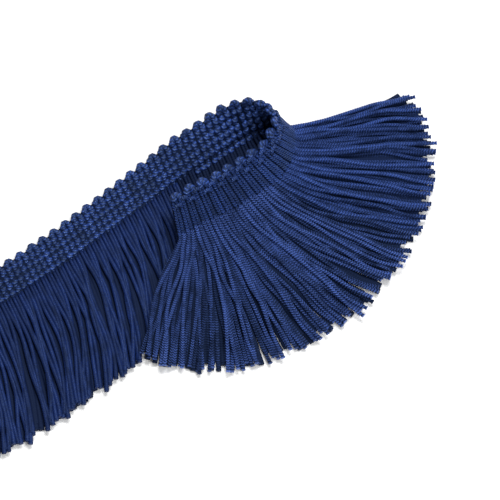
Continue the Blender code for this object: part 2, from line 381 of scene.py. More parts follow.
@dataclass(frozen=True)
class YarnFinish:
    """The viscose yarn of one group of pieces, all of the same navy dye.

    The fan's finishes are set lighter and the tail's darker, as painted light and shade. The first colour
    is the base colour in painted shade, the second under painted highlights. roughness is that of the lit
    tops and of the hollows. links and fibre are the heights of the chain and of the fibres in the bump, and
    grain is the fineness of the fibres.
    """

    name: str
    shade_colour: tuple[float, float, float]
    bright: tuple[float, float, float]
    roughness: Pair
    shine: float
    sheen: float
    links: float
    fibre: float = 0.5
    grain: float = 0.8


@dataclass(frozen=True)
class Wiring:
    """Adds nodes to one tree and feeds their inputs."""

    tree: NodeTree

    def feed(self, node: Node, inputs: dict[str | int, object]) -> None:
        """Links or sets the inputs of a node.

        Args:
            node: The node.
            inputs: An output to link, or a value to set, for each input by its name or number.
        """
        for key, value in inputs.items():
            if isinstance(value, NodeSocket):
                self.tree.links.new(value, node.inputs[key])
            else:
                node.inputs[key].default_value = value

    def add(self, kind: str, inputs: dict[str | int, object], **settings: object) -> Node:
        """Adds a node.

        Args:
            kind: Its type.
            inputs: What feeds its inputs.
            settings: Its other settings, by name.

        Returns:
            The node.
        """
        node = self.tree.nodes.new(kind)
        for name, value in settings.items():
            setattr(node, name, value)
        self.feed(node, inputs)
        return node

    def sum_up(self, kind: str, *inputs: object, clamp: bool = False) -> NodeSocket:
        """Adds a Math node and gives its output."""
        return self.add("ShaderNodeMath", dict(enumerate(inputs)), operation=kind, use_clamp=clamp).outputs[0]

    def noise(self, *place: NodeSocket, detail: float) -> NodeSocket:
        """Adds a Noise node that is read at a place, and gives its output."""
        spot = self.add("ShaderNodeCombineXYZ", dict(enumerate(place))).outputs[0]
        return self.add("ShaderNodeTexNoise", {"Vector": spot, "Scale": 1.0, "Detail": detail}).outputs["Fac"]


class Materials:
    """Builds the shared node group once, and a material for each finish.

    Each contrast is a gain and an offset. Each cord carries a random tone, set low as painted shade for
    cords that lie under others and in the hollow; a lower tone gives a darker colour.
    """

    link_edge: float = 1.6
    fibres_round: float = 11.0
    fibres_along: float = 1.6
    sparkle_contrast: Pair = (3.4, -0.7)
    patches_along: float = 0.16
    patch_contrast: Pair = (2.6, -0.45)
    shift_of_tone: float = 61.0
    tone_contrast: Pair = (0.5, 0.6)
    tone_level: float = 0.14
    bump_strength: float = 0.8
    bump_height: float = 0.25 * MM
    shine_tint: tuple[float, ...] = (0.42, 0.62, 1.0, 1.0)
    sheen_roughness: float = 0.35
    sheen_tint: tuple[float, ...] = (0.16, 0.30, 0.75, 1.0)

    def __init__(self) -> None:
        """Makes the group."""
        self.relief = self.relief_group()

    def relief_group(self) -> NodeTree:
        """Builds the group for the links and the fine fibres of a cord, on its own UV map.

        Returns:
            The node group, which puts out a height and a mask of painted light: painted highlights on the
            tops of the links and painted shade in the valleys between them.
        """
        tree = bpy.data.node_groups.new("chained_yarn", "ShaderNodeTree")
        tree.interface.new_socket("Vector", in_out="INPUT", socket_type="NodeSocketVector")
        for name in ("Links", "Fibre", "Grain", "Shift"):
            tree.interface.new_socket(name, in_out="INPUT", socket_type="NodeSocketFloat")
        for name in ("Height", "PaintedLight"):
            tree.interface.new_socket(name, in_out="OUTPUT", socket_type="NodeSocketFloat")
        wiring = Wiring(tree)
        sum_up = wiring.sum_up
        given = wiring.add("NodeGroupInput", {}).outputs
        links, grain, shift = given["Links"], given["Grain"], given["Shift"]
        split = wiring.add("ShaderNodeSeparateXYZ", {0: given["Vector"]})
        turn, along = split.outputs["X"], split.outputs["Y"]
        wave = sum_up("COSINE", sum_up("MULTIPLY", along, math.tau))
        raised = sum_up("POWER", sum_up("MULTIPLY_ADD", wave, 0.5, 0.5), self.link_edge)
        wound = sum_up("MULTIPLY", sum_up("MULTIPLY", turn, self.fibres_round), grain)
        drawn = sum_up("MULTIPLY", sum_up("MULTIPLY", along, self.fibres_along), grain)
        fibres = wiring.noise(wound, sum_up("ADD", drawn, shift), shift, detail=2.0)
        # Painted light: the tops of the links are painted brighter as highlights, with sparkling specks in
        # brighter patches along the cord, and the valleys between the links darker as painted shade.
        patches = wiring.noise(sum_up("MULTIPLY", along, self.patches_along), shift, detail=1.0)
        lit = sum_up("MULTIPLY_ADD", patches, *self.patch_contrast)
        fuzz = sum_up("MULTIPLY", fibres, given["Fibre"])
        height = sum_up("MULTIPLY_ADD", raised, links, fuzz)
        sparkle = sum_up("MULTIPLY_ADD", fibres, *self.sparkle_contrast)
        valley_shade = sum_up("MULTIPLY", sum_up("SUBTRACT", 1.0, raised), links)
        lit_tops = sum_up("SUBTRACT", 1.0, valley_shade)
        painted_glint = sum_up("MULTIPLY", sum_up("MULTIPLY", lit_tops, sparkle), lit, clamp=True)
        wiring.add("NodeGroupOutput", {"Height": height, "PaintedLight": painted_glint})
        return tree

    def yarn(self, finish: YarnFinish) -> Material:
        """Builds the material of one finish.

        Args:
            finish: The finish.

        Returns:
            The material.
        """
        material = bpy.data.materials.new(finish.name)
        material.use_nodes = True
        wiring = Wiring(material.node_tree)
        tone = wiring.add("ShaderNodeAttribute", {}, attribute_name="tone").outputs["Fac"]
        given = {
            "Vector": wiring.add("ShaderNodeUVMap", {}, uv_map="UVMap").outputs["UV"],
            "Links": finish.links,
            "Fibre": finish.fibre,
            "Grain": finish.grain,
            "Shift": wiring.sum_up("MULTIPLY", tone, self.shift_of_tone),
        }
        relief = wiring.add("ShaderNodeGroup", given, node_tree=self.relief).outputs
        # Painted light and shade: the mask of the links mixes the painted shade and painted highlight
        # colours, and a low tone darkens a cord as painted shade.
        gain = wiring.sum_up("MULTIPLY_ADD", tone, *self.tone_contrast, clamp=True)
        level = wiring.sum_up("MULTIPLY", tone, self.tone_level)
        blend = wiring.sum_up("MULTIPLY_ADD", relief["PaintedLight"], gain, level, clamp=True)
        ends = {0: blend, 6: (*finish.shade_colour, 1.0), 7: (*finish.bright, 1.0)}
        smooth, rough = finish.roughness
        gloss = wiring.add("ShaderNodeMapRange", {"Value": blend, "To Min": rough, "To Max": smooth})
        raised = {"Strength": self.bump_strength, "Distance": self.bump_height, "Height": relief["Height"]}
        shown = {
            "Base Color": wiring.add("ShaderNodeMix", ends, data_type="RGBA").outputs[2],
            "Roughness": gloss.outputs["Result"],
            "Normal": wiring.add("ShaderNodeBump", raised).outputs["Normal"],
            "Specular IOR Level": finish.shine,
            "Specular Tint": self.shine_tint,
            "Sheen Weight": finish.sheen,
            "Sheen Roughness": self.sheen_roughness,
            "Sheen Tint": self.sheen_tint,
        }
        wiring.feed(material.node_tree.nodes["Principled BSDF"], shown)
        return material


# All five finishes are one navy dye: the fan's are set lighter and the tail's darker, as painted light and
# shade.
HEADING_YARN = YarnFinish(
    "navy_heading_yarn", (0.0012, 0.0042, 0.023), (0.026, 0.062, 0.262), (0.26, 0.62),
    shine=0.6, sheen=0.03, links=1.0, fibre=0.9, grain=1.0,
)
# The ground is near black, as painted shade in the holes between the swells.
SHADED_GROUND_YARN = YarnFinish(
    "navy_ground_painted_shade", (0.001, 0.003, 0.014), (0.002, 0.006, 0.028), (0.55, 0.75),
    shine=0.2, sheen=0.0, links=0.6, fibre=0.6, grain=1.0,
)
FRONT_YARN = YarnFinish(
    "navy_front_cord", (0.0008, 0.0036, 0.021), (0.069, 0.130, 0.440), (0.26, 0.85),
    shine=0.45, sheen=0.02, links=1.0,
)
RIGHT_YARN = YarnFinish(
    "navy_right_cord", (0.0014, 0.0055, 0.032), (0.054, 0.110, 0.400), (0.26, 0.85),
    shine=0.45, sheen=0.02, links=0.95,
)
TAIL_YARN = YarnFinish(
    "navy_tail_cord", (0.0012, 0.0038, 0.022), (0.0068, 0.0180, 0.090), (0.40, 0.72),
    shine=0.3, sheen=0.02, links=0.40, fibre=0.4,
)


def dress(piece: Object, material: Material) -> None:
    """Gives a finished piece its material and its body.

    Args:
        piece: The piece.
        material: Its material.
    """
    piece.data.materials.append(material)
    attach(piece, "root")


@dataclass
class Heading:
    """The looped heading: its ground, its swells, its ribs and its picots.

    Places are counted in stations. A shift, slip, lift or lean is drawn at random, by so many millimetres
    either way. picot_radii and picot_slip have their middle first. Gains and losses are shares.
    """

    spine: Spine
    rib_pitch: float = 2.92 * MM
    fine_steps: int = 1200
    pairing: float = 0.13
    ground_span: Pair = (1.5 * MM, 17.3 * MM)
    ground_half: float = 0.45 * MM
    ground_cells: tuple[int, int] = (240, 9)
    ground_grain: Pair = (4.0, 300.0)
    swell_centres: tuple[float, ...] = (1.0, 4.4, 7.8, 11.1, 14.5, 17.9, 21.2, 24.4)
    swell_span: Pair = (1.2, 16.7)
    swell_points: int = 80
    swell_taper: Pair = (0.8 * MM, 2.1 * MM)
    swell_shift: float = 0.25
    swell_slip_lift: Pair = (0.16, 0.14)
    swell_sizes: Pair = (0.9, 1.08)
    swell_roundness: float = 0.6
    swell_waist: Pair = (0.46, 0.36)
    swell_half_width: float = 1.38 * MM
    swell_half_height: float = 1.05 * MM
    swell_out: float = 0.45 * MM
    swell_dip: float = 0.30 * MM
    swell_slant: float = 0.36 * MM
    hollow_places: Pair = (5.2, 9.6)
    hollow_end: float = 20.2
    hollow_rise: Pair = (16.7 * MM, 19.0 * MM)
    hollow_out: float = 0.9 * MM
    bend: Pair = (8.0, 2.2)
    bend_fullness: float = 0.22
    bend_looseness: float = 1.54
    rib_span: Pair = (2.9 * MM, 17.2 * MM)
    rib_points: int = 30
    rib_half_width: float = 0.71 * MM
    rib_half_height: float = 0.64 * MM
    rib_out: float = 0.86 * MM
    rib_sway: float = 0.05 * MM
    rib_sway_length: float = 1.1 * MM
    rib_spreads: Pair = (4.0 * MM, 16.0 * MM)
    rib_fill: float = 0.45
    rib_widest: float = 1.05 * MM
    rib_end: Pair = (16.2 * MM, 17.0 * MM)
    rib_end_loss: float = 0.45
    knob: Pair = (4.9, 1.0)
    knob_slip: float = 0.4
    knob_gain: Pair = (0.15, 0.6)
    pinches: tuple[Pair, ...] = ((6.9, 0.6), (3.2, 0.5))
    pinch_loss: Pair = (0.35, 0.4)
    picot_points: int = 15
    picot_radius: float = 1.02 * MM
    picot_radii: Pair = (1.015, 0.065)
    picot_half_width: float = 1.14 * MM
    picot_half_height: float = 0.90 * MM
    picot_widths: Pair = (0.95, 1.06)
    picot_leg_width: float = 1.28
    picot_rise: float = 0.45 * MM
    picot_legs: Pair = (2.3 * MM, 3.2 * MM)
    picot_out: float = 0.60 * MM
    picot_dive: Pair = (1.6 * MM, 2.9 * MM)
    picot_dive_share: float = 0.95
    picot_lean: float = 0.22
    picot_slip: Pair = (0.025, 0.175)
    picot_crest: Pair = (6.3, 0.9)
    picot_crest_rise: float = 0.45 * MM
    facing_places: Pair = (9.0, 11.5)
    facing_gain: float = 0.18
    unruly_places: Pair = (6.0, 9.0)
    unruly_gain: float = 1.3
    binding_depths: Pair = (4.1, 6.4)
    binding_radius: float = 1.1 * MM
    binding_points: int = 13
    binding_overlap: float = 0.15
    binding_length: float = 1.15
    binding_lean: float = 0.35
    binding_slip: float = 0.45
    binding_radii: Pair = (0.8, 1.2)
    binding_sizes: Pair = (0.85, 1.1)
    clear_from: float = 6.0

    def __post_init__(self) -> None:
        """Spaces the ribs evenly along the rim, and finds the two cords that make each of them."""
        fine = np.linspace(0.0, self.spine.last, self.fine_steps)
        lengths = gone_along(self.spine.rim_at(fine))
        pairs = round(lengths[-1] / (2.0 * self.rib_pitch))
        columns = np.interp(np.linspace(0.0, lengths[-1], 4 * pairs + 1), lengths, fine)
        self.rib_places = columns[1::2]
        middles = (columns[1:] + columns[:-1]) / 2.0
        ribs = np.repeat(self.rib_places, 2)
        self.cord_places = middles + (ribs - middles) * self.pairing
        self.draw = random.Random(SEED)

    def either_way(self, spread: float) -> float:
        """Draws a number between minus and plus the spread."""
        return self.draw.uniform(-spread, spread)

    def line(self, place: float, way: tuple, section: tuple, side: float = 1.0) -> Line:
        """Lays a line by its depth, way out and way aside, with its half width and half height."""
        frame = self.spine.frames(place).repeated(len(way[0]))
        return Line(frame.point(*way), frame.face * side, *section, self.draw.random())

    def ground(self) -> Object:
        """Builds the thin sheet in the middle of the heading, from which nothing shows through.

        Its finish is near black, as painted shade in the holes between the swells.

        Returns:
            The piece.
        """
        columns, rows = self.ground_cells
        bm = bmesh.new()
        bmesh.ops.create_grid(bm, x_segments=columns, y_segments=rows, size=0.5)
        bmesh.ops.solidify(bm, geom=bm.faces[:], thickness=1.0)
        flat = np.array([vert.co[:] for vert in bm.verts])
        level = (flat[:, 2] - flat[:, 2].min()) / np.ptp(flat[:, 2])
        frames = self.spine.frames((flat[:, 0] + 0.5) * self.spine.last)
        depth = np.interp(flat[:, 1], (-0.5, 0.5), self.ground_span)
        points = frames.point(depth, (level * 2.0 - 1.0) * self.ground_half)
        layer = bm.loops.layers.uv.new("UVMap")
        for vert, point, (x, y, _) in zip(bm.verts, points, flat):
            vert.co = point
            for loop in vert.link_loops:
                loop[layer].uv = (y * self.ground_grain[0], x * self.ground_grain[1])
        bmesh.ops.recalc_face_normals(bm, faces=bm.faces[:])
        for face in bm.faces:
            face.smooth = True
        mesh = bpy.data.meshes.new("heading_ground")
        bm.to_mesh(mesh)
        bm.free()
        LOG.info("heading_ground: %d faces", len(mesh.polygons))
        return placed("heading_ground", mesh)

    def swells(self) -> Object:
        """Builds the looped face: a cord down each rib that swells between the rows of binding thread.

        Returns:
            The piece.
        """
        centres = np.array(self.swell_centres) * MM
        number = np.arange(len(centres))
        first, last = self.swell_span
        lines = []
        for place in self.rib_places:
            hollow = self.hollow_places[0] < place < self.hollow_places[1]
            depths = np.linspace(first, self.hollow_end if hollow else last, self.swell_points) * MM
            taper = 0.3 + 0.7 * ease(*self.swell_taper, depths)
            phase = np.interp(depths + self.either_way(self.swell_shift) * MM, centres, number)
            bulge = (0.5 + 0.5 * np.cos(math.tau * phase)) ** self.swell_roundness
            nearest = np.rint(phase).astype(int)
            in_bend = bell(*self.bend, place)
            full = 1.0 + self.bend_fullness * in_bend
            loose = 1.0 + self.bend_looseness * in_bend
            sizes = np.array([self.draw.uniform(*self.swell_sizes) for _ in centres])[nearest]
            slips, lifts = (
                np.array([self.either_way(spread) for _ in centres])[nearest] * MM * loose
                for spread in self.swell_slip_lift
            )
            aside = slips * bulge - self.swell_slant * np.sin(math.tau * phase)
            out = self.swell_out + lifts * bulge + self.swell_dip * (bulge - 1.0)
            out += self.hollow_out * ease(*self.hollow_rise, depths)
            thin, low = self.swell_waist
            width = self.swell_half_width * (thin + (1.0 - thin) * bulge) * sizes * taper
            height = self.swell_half_height * (low + (1.0 - low) * bulge * full) * sizes * taper
            lines.append(self.line(place, (depths, out, aside), (width, height)))
        return lay_cords("looped_face_swells", [(SWELLING, lines)])

    def ribs(self) -> Object:
        """Builds the ribbed face: two chained cords side by side down each rib.

        Returns:
            The piece.
        """
        depths = np.linspace(*self.rib_span, self.rib_points)
        spacing = self.spine.spacing(self.cord_places, self.rib_spreads[1])
        lines = []
        for place, apart in zip(self.cord_places, spacing):
            sway = self.rib_sway * np.sin(depths / self.rib_sway_length + self.draw.uniform(0.0, 6.0))
            low_width = np.clip(self.rib_fill * apart, self.rib_half_width, self.rib_widest)
            width = np.interp(depths, self.rib_spreads, (self.rib_half_width, low_width))
            knob_at, knob_reach = self.knob
            knob = bell(knob_at + self.either_way(self.knob_slip), knob_reach, depths / MM)
            knob *= ease(self.clear_from - 2.0, self.clear_from, place)
            pinch = sum(bell(*at, depths / MM) for at in self.pinches)
            end = 1.0 - self.rib_end_loss * ease(*self.rib_end, depths)
            width *= (1.0 + self.knob_gain[0] * knob - self.pinch_loss[0] * pinch) * end
            height = (1.0 + self.knob_gain[1] * knob - self.pinch_loss[1] * pinch) * end
            section = (width, self.rib_half_height * height)
            lines.append(self.line(place, (depths, -self.rib_out, sway), section, -1.0))
        return lay_cords("ribbed_face_cords", [(CHAINED, lines)])

    def picots(self) -> Object:
        """Builds the picots: the turns of the cords over the top edge, from one rib to the next.

        Returns:
            The piece.
        """
        turns = np.linspace(0.0, math.pi, self.picot_points)
        lines = []
        for first, second in zip(self.rib_places[0::2], self.rib_places[1::2]):
            ends = self.spine.frames(np.array((first, second)))
            foot = np.linalg.norm(ends.rim[1] - ends.rim[0]) / 2.0
            facing = 1.0 + self.facing_gain * ease(*self.facing_places, first)
            unruly = 1.0 + self.unruly_gain * ease(*self.unruly_places, first)
            crest = self.picot_crest_rise * bell(*self.picot_crest, first)
            for out in (self.picot_out, -self.picot_out):
                size, spread = self.picot_radii
                radius = self.picot_radius * (size + self.either_way(spread) * unruly) * facing
                lean = self.either_way(self.picot_lean) * MM * unruly
                slip, spread = self.picot_slip
                centre = self.picot_radius + self.picot_half_width - self.picot_rise - crest
                centre += (slip + self.either_way(spread) * unruly) * MM
                aside = np.concatenate(([-foot, -foot], -radius * np.cos(turns) + lean, [foot, foot]))
                over = centre - radius * np.sin(turns)
                depth = np.concatenate((self.picot_legs[::-1], over, self.picot_legs))
                dive = 1.0 - self.picot_dive_share * ease(*self.picot_dive, depth)
                width = np.interp(depth, (centre, self.picot_legs[0]), (1.0, self.picot_leg_width))
                width *= self.picot_half_width * self.draw.uniform(*self.picot_widths) * facing
                section = (width, np.full(len(width), self.picot_half_height))
                way = (depth, out * dive, aside)
                lines.append(self.line((first + second) / 2.0, way, section, math.copysign(1.0, out)))
        return lay_cords("picot_loops", [(TURNED, lines + self.bindings())])

    def bindings(self) -> list[Line]:
        """Lays the slack loops of binding cord, in two rows below the picots of the ribbed face.

        Returns:
            One line for each loop.
        """
        turns = np.linspace(-self.binding_overlap, math.pi + self.binding_overlap, self.binding_points)
        swelling = np.sin(np.clip(turns, 0.0, math.pi))
        lines = []
        for row, depth_of_row in enumerate(self.binding_depths):
            first, second = self.rib_places[1 - row :: 2], self.rib_places[2 - row :: 2]
            for place in (first[: len(second)] + second) / 2.0:
                if place < self.clear_from:
                    continue
                radius = self.binding_radius * self.draw.uniform(*self.binding_radii)
                lean = self.either_way(self.binding_lean) * MM
                centre = depth_of_row * MM + self.either_way(self.binding_slip) * MM
                aside = -self.binding_length * radius * np.cos(turns) + lean
                depth = centre - radius * np.sin(turns)
                out = -(self.rib_out + (0.15 + 0.55 * swelling) * self.draw.uniform(*self.binding_radii) * MM)
                size = self.draw.uniform(*self.binding_sizes)
                section = ((0.6 + 0.4 * swelling) * size * MM, (0.5 + 0.3 * swelling) * size * MM)
                lines.append(self.line(place, (depth, out, aside), section, -1.0))
        return lines

    def build(self, materials: Materials) -> list[Object]:
        """Builds and dresses every piece of the heading.

        Args:
            materials: The shared materials.

        Returns:
            The pieces, the ground first.
        """
        yarn = materials.yarn(HEADING_YARN)
        pieces = [self.ground(), self.swells(), self.ribs(), self.picots()]
        dress(pieces[0], materials.yarn(SHADED_GROUND_YARN))
        for piece in pieces[1:]:
            dress(piece, yarn)
        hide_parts("heading")
        return pieces


@dataclass(frozen=True)
class Lay:
    """How the strands lie at one station.

    aim is their bearing, reach their length and bed the height on which they lie. At the share off_bed of
    their length they are down on the table, and closer together if one_level. bow scales their first bend.
    """

    at: float
    aim: float
    reach: float
    bed: float
    off_bed: float
    one_level: bool
    bow: float = 1.0


@dataclass(frozen=True)
class Layer:
    """One layer of strands: its side of the heading, how high it lies, its cord and its spacing.

    pull is how far a lock draws its strands together, and lock its width at the root in millimetres.
    loose is 1 where strands stray freely, and fill is how much wider they are than those of the top layer.
    Each strand draws a random tone from the layer's range; on layers under others and in the hollow the range
    is set low, as painted shade. short is how far before the end the layer stops, in stations.
    """

    side: Face
    level: int
    cord: Cord
    pitch: float | None
    pull: float
    lock: Pair = (2.0, 7.0)
    loose: float = 1.0
    tone_range_and_shade: Pair = (0.0, 1.0)
    fill: float = 1.0
    short: float = 0.0


@dataclass(frozen=True)
class Fringe:
    """One stretch of the fringe, from its roots at the heading's lower edge to its cut tips.

    long_ones and strays have their chance first, and then how much longer they are or farther they turn.
    """

    heading: Heading
    name: str
    node: str
    finish: YarnFinish
    lays: tuple[Lay, ...]
    layers: tuple[Layer, ...]
    half_width: float
    half_height: float
    aim_spread: float
    wander: float
    root_depth: float = 18.3 * MM
    tucked_from: float = 16.3 * MM
    root_out: float = 0.82 * MM
    level_rise: float = 1.55 * MM
    settled_rise: float = 1.1 * MM
    descent: float = 0.25
    most_bend: float = 0.45
    least_way: float = 0.2
    steepest: Pair = (14.0, 6.0)
    path_points: int = 60
    near_tip: int = 52
    fine_steps: int = 160
    least_root: float = 0.6
    lock_spread: float = 0.6
    reach_shares: Pair = (0.935, 1.015)
    long_ones: Pair = (0.06, 0.06)
    covered_short: float = 0.04
    strays: Pair = (0.11, 2.6)
    ends_held: Pair = (-0.05, 0.3)
    ends_drawn: float = 0.45
    drawn_by: float = 0.35
    swaying_by: float = 0.3
    sway_waves: Pair = (3.0, 9.0)
    lift: float = 0.5
    lifted_by: Pair = (0.1, 0.4)
    tuck_slip: float = 0.5
    grown_by: float = 9.0 * MM
    tip: float = 5.0 * MM
    tip_flare: float = 0.16
    root_fill: float = 0.92
    least_half_width: float = 0.66 * MM
    root_height: float = 0.86
    sizes: Pair = (0.92, 1.06)
    smoothings: int = 3

    def lay_value(self, name: str, place: float) -> float:
        """Reads one column of the lay table at a place on the spine."""
        row = np.interp([place], [lay.at for lay in self.lays], range(len(self.lays)))
        return float(hermite(np.array([[float(getattr(lay, name))] for lay in self.lays]), row)[0, 0])

    def columns(self, layer: Layer) -> np.ndarray:
        """Gives the places from which the strands of a layer hang.

        Args:
            layer: The layer.

        Returns:
            The places.
        """
        start, end = self.lays[0].at, self.lays[-1].at
        if layer.pitch is None:
            places = self.heading.cord_places
            return places[(places >= start) & (places <= end)]
        fine = np.linspace(start, end - layer.short, self.fine_steps)
        middles = np.array([self.path(place, layer, 0.0, 1.0)[self.near_tip] for place in fine])
        roots = self.heading.spine.frames(fine).point(self.root_depth, 0.0)
        steps = [np.linalg.norm(np.diff(points[:, :2], axis=0), axis=1) for points in (middles, roots)]
        lengths = np.concatenate(([0.0], np.cumsum(np.maximum(steps[0], self.least_root * steps[1]))))
        count = round(lengths[-1] / layer.pitch)
        return np.interp((np.arange(count) + 0.5) / count * lengths[-1], lengths, fine)

    def path(self, place: float, layer: Layer, aim_shift: float, reach_share: float) -> np.ndarray:
        """Works out the middle line of one strand as it lies by itself.

        Args:
            place: Where it leaves the heading.
            layer: Its layer.
            aim_shift: Degrees by which it turns from the way that its neighbours point.
            reach_share: Its length, as a share of the usual one.

        Returns:
            Points from the root to the tip, evenly numbered.
        """
        share = np.linspace(0.0, 1.0, self.path_points)
        frame = self.heading.spine.frames(place)
        down = frame.down[0]
        aim = self.lay_value("aim", place) + aim_shift
        reach = self.lay_value("reach", place) * MM * reach_share
        line, cross = unit(aim), unit(aim + 90.0)
        level = self.half_height + layer.level * self.level_rise
        one_level = [lay.one_level for lay in self.lays if lay.at <= max(place, self.lays[0].at)][-1]
        settled = self.half_height + layer.level * (self.settled_rise if one_level else self.level_rise)
        off_bed = self.lay_value("off_bed", place)
        fallen = ease(off_bed - self.descent, off_bed, share)
        lying = (level + self.lay_value("bed", place) * MM) * (1.0 - fallen) + settled * fallen
        root = frame.point(self.root_depth, layer.side.value * self.root_out)[0]
        start = np.array((down[0], down[1], 0.0))
        length = float(np.linalg.norm(start))
        turned = start.dot(cross) / max(start.dot(line), self.least_way)
        bend = float(np.clip(turned, -self.most_bend, self.most_bend)) * length * self.lay_value("bow", place)
        fall = -down[2] / max(length, self.least_way)
        drop = max(root[2] - lying[0], 0.1 * MM)
        steepness = min(reach * fall / drop, self.steepest[min(layer.level, 1)])
        aside = bend * share * (1.0 - share) * reach
        plan = root + np.outer(reach * share, line) + np.outer(aside, cross)
        plan[:, 2] = lying + (root[2] - lying[0]) * np.exp(-steepness * share)
        return plan

    def build(self, materials: Materials, draw: random.Random) -> Object:
        """Lays every strand of this stretch, drawn together into loose locks.

        Args:
            materials: The shared materials.
            draw: Source of the small irregularities.

        Returns:
            The finished piece.
        """
        batches = []
        for layer in self.layers:
            places = self.columns(layer)
            spacing = self.heading.spine.spacing(places, self.root_depth)
            lines: list[Line] = []
            index = 0
            while index < len(places):
                size = max(1, round(draw.uniform(*layer.lock) * MM / spacing[index]))
                members = range(index, min(index + size, len(places)))
                aim_of_lock = draw.gauss(0.0, self.aim_spread * self.lock_spread) * layer.loose
                centre = self.path(places[list(members)].mean(), layer, aim_of_lock, 1.0)
                for member in members:
                    room = spacing[member] / 2.0
                    lines.append(self.strand(places[member], layer, room, centre, aim_of_lock, draw))
                index += size
            batches.append((layer.cord, lines))
        piece = lay_cords(self.name, batches)
        dress(piece, materials.yarn(self.finish))
        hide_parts(self.node)
        return piece

    def strand(
        self,
        place: float,
        layer: Layer,
        room: float,
        centre: np.ndarray,
        aim_of_lock: float,
        draw: random.Random,
    ) -> Line:
        """Lays one strand of a lock.

        Args:
            place: Where it leaves the heading.
            layer: Its layer.
            room: Half the distance to its neighbours at the root.
            centre: The lock's middle line.
            aim_of_lock: Degrees by which the whole lock turns.
            draw: Source of the small irregularities.

        Returns:
            The strand's line.
        """
        wild = layer.loose >= 1.0
        reach_share = draw.uniform(*self.reach_shares) - self.covered_short * (1.0 - layer.loose)
        if wild and draw.random() < self.long_ones[0]:
            reach_share += self.long_ones[1]
        stray = draw.gauss(0.0, self.aim_spread) * layer.loose
        if wild and draw.random() < self.strays[0]:
            stray *= self.strays[1]
        inside = min(place - self.lays[0].at, self.lays[-1].at - place)
        stray *= ease(*self.ends_held, inside)
        path = self.path(place, layer, aim_of_lock + stray, reach_share)
        share = np.linspace(0.0, 1.0, len(path))
        drawn = layer.pull * ease(0.0, self.ends_drawn, inside) * ease(0.0, self.drawn_by, share)
        plan = path.copy()
        plan[:, :2] += drawn[:, None] * (centre[:, :2] - path[:, :2]) * min(1.0, reach_share)
        across = np.cross((0.0, 0.0, 1.0), unit_rows(np.gradient(plan, axis=0)))
        sway = np.sin(share * draw.uniform(*self.sway_waves) + draw.uniform(0.0, 6.3))
        sway *= self.wander * ease(0.0, self.swaying_by, share) * layer.loose
        plan += across * sway[:, None]
        plan[:, 2] += draw.uniform(0.0, self.lift) * self.half_height * ease(*self.lifted_by, share)
        tucked_from = self.tucked_from + draw.uniform(-self.tuck_slip, self.tuck_slip) * layer.cord.link
        tucked = np.linspace(tucked_from, self.root_depth, 5)[:-1]
        frame = self.heading.spine.frames(place).repeated(len(tucked))
        points = np.concatenate((frame.point(tucked, layer.side.value * self.root_out), plan))
        for _ in range(self.smoothings):
            points[1:-1] = (points[:-2] + 2.0 * points[1:-1] + points[2:]) / 4.0
        outward = frame.face * (layer.side.value or Face.RIBBED.value)
        outward *= 1.0 if outward[0][2] > 0.0 else -1.0
        ups = np.concatenate((outward, np.repeat([(0.0, 0.0, 1.0)], len(plan), axis=0)))
        reach = self.lay_value("reach", place) * MM
        along = np.linspace(0.0, 1.0, len(points)) * reach
        grown = ease(0.0, self.grown_by, along)
        flared = 1.0 + self.tip_flare * ease(reach - self.tip, reach, along)
        narrow = min(self.half_width, max(self.root_fill * room, self.least_half_width))
        size = draw.uniform(*self.sizes)
        width = (narrow + (self.half_width - narrow) * grown) * size
        width *= (1.0 + (layer.fill - 1.0) * grown) * flared
        height = self.half_height * (self.root_height + (1.0 - self.root_height) * grown) * size
        return Line(points, unit_rows(ups), width, height, draw.uniform(*layer.tone_range_and_shade))


CHAINED = Cord(sides=8, step=0.55 * MM, relief=0.26, chevron=0.6, smooth=False, slope=0.66)
TURNED = Cord(sides=10, step=0.42 * MM, relief=0.14, chevron=0.2, slope=0.6)
SWELLING = Cord(sides=10, step=0.3 * MM)
UNDER = Cord(sides=6, step=0.55 * MM, relief=0.24, chevron=0.6, smooth=False, slope=0.66)
SMOOTH = Cord(sides=8, step=1.65 * MM)
BASE = Cord(sides=6, step=1.8 * MM)
# Tone ranges as painted shade: the strands under the top layer and the top strands in the hollow are set
# darker, the base of the fan darkest, and its middle layer half lit.
PAINTED_SHADE = (-1.2, -0.6)
DEEP_PAINTED_SHADE = (-1.3, -0.5)
HALF_LIT = (-0.6, 0.5)
FLAT_BASE = Layer(Face.RIBBED, 0, SMOOTH, 1.3 * MM, 0.05, loose=0.3, tone_range_and_shade=PAINTED_SHADE, fill=1.35)
TAIL_MEETS_INNER = Lay(4.6, -77.0, 59.5, 0.0, 0.9, False)
RIGHT_MEETS_FRONT = Lay(14.5, -17.0, 61.5, 2.8, 0.9, False)


def fan_layers(middle_pitch: float, short: Pair) -> tuple[Layer, ...]:
    """Lists the layers of the fan from the lowest up. The two lower ones stop short of the end, and are
    darkened as painted shade.
    """
    return (
        Layer(Face.LOOPED, 0, BASE, 1.25 * MM, 0.03, loose=0.3, tone_range_and_shade=DEEP_PAINTED_SHADE, fill=1.3, short=short[0]),
        Layer(Face.MIDDLE, 1, UNDER, middle_pitch, 0.2, loose=0.8, tone_range_and_shade=HALF_LIT, short=short[1]),
        Layer(Face.RIBBED, 2, CHAINED, None, 0.45),
    )


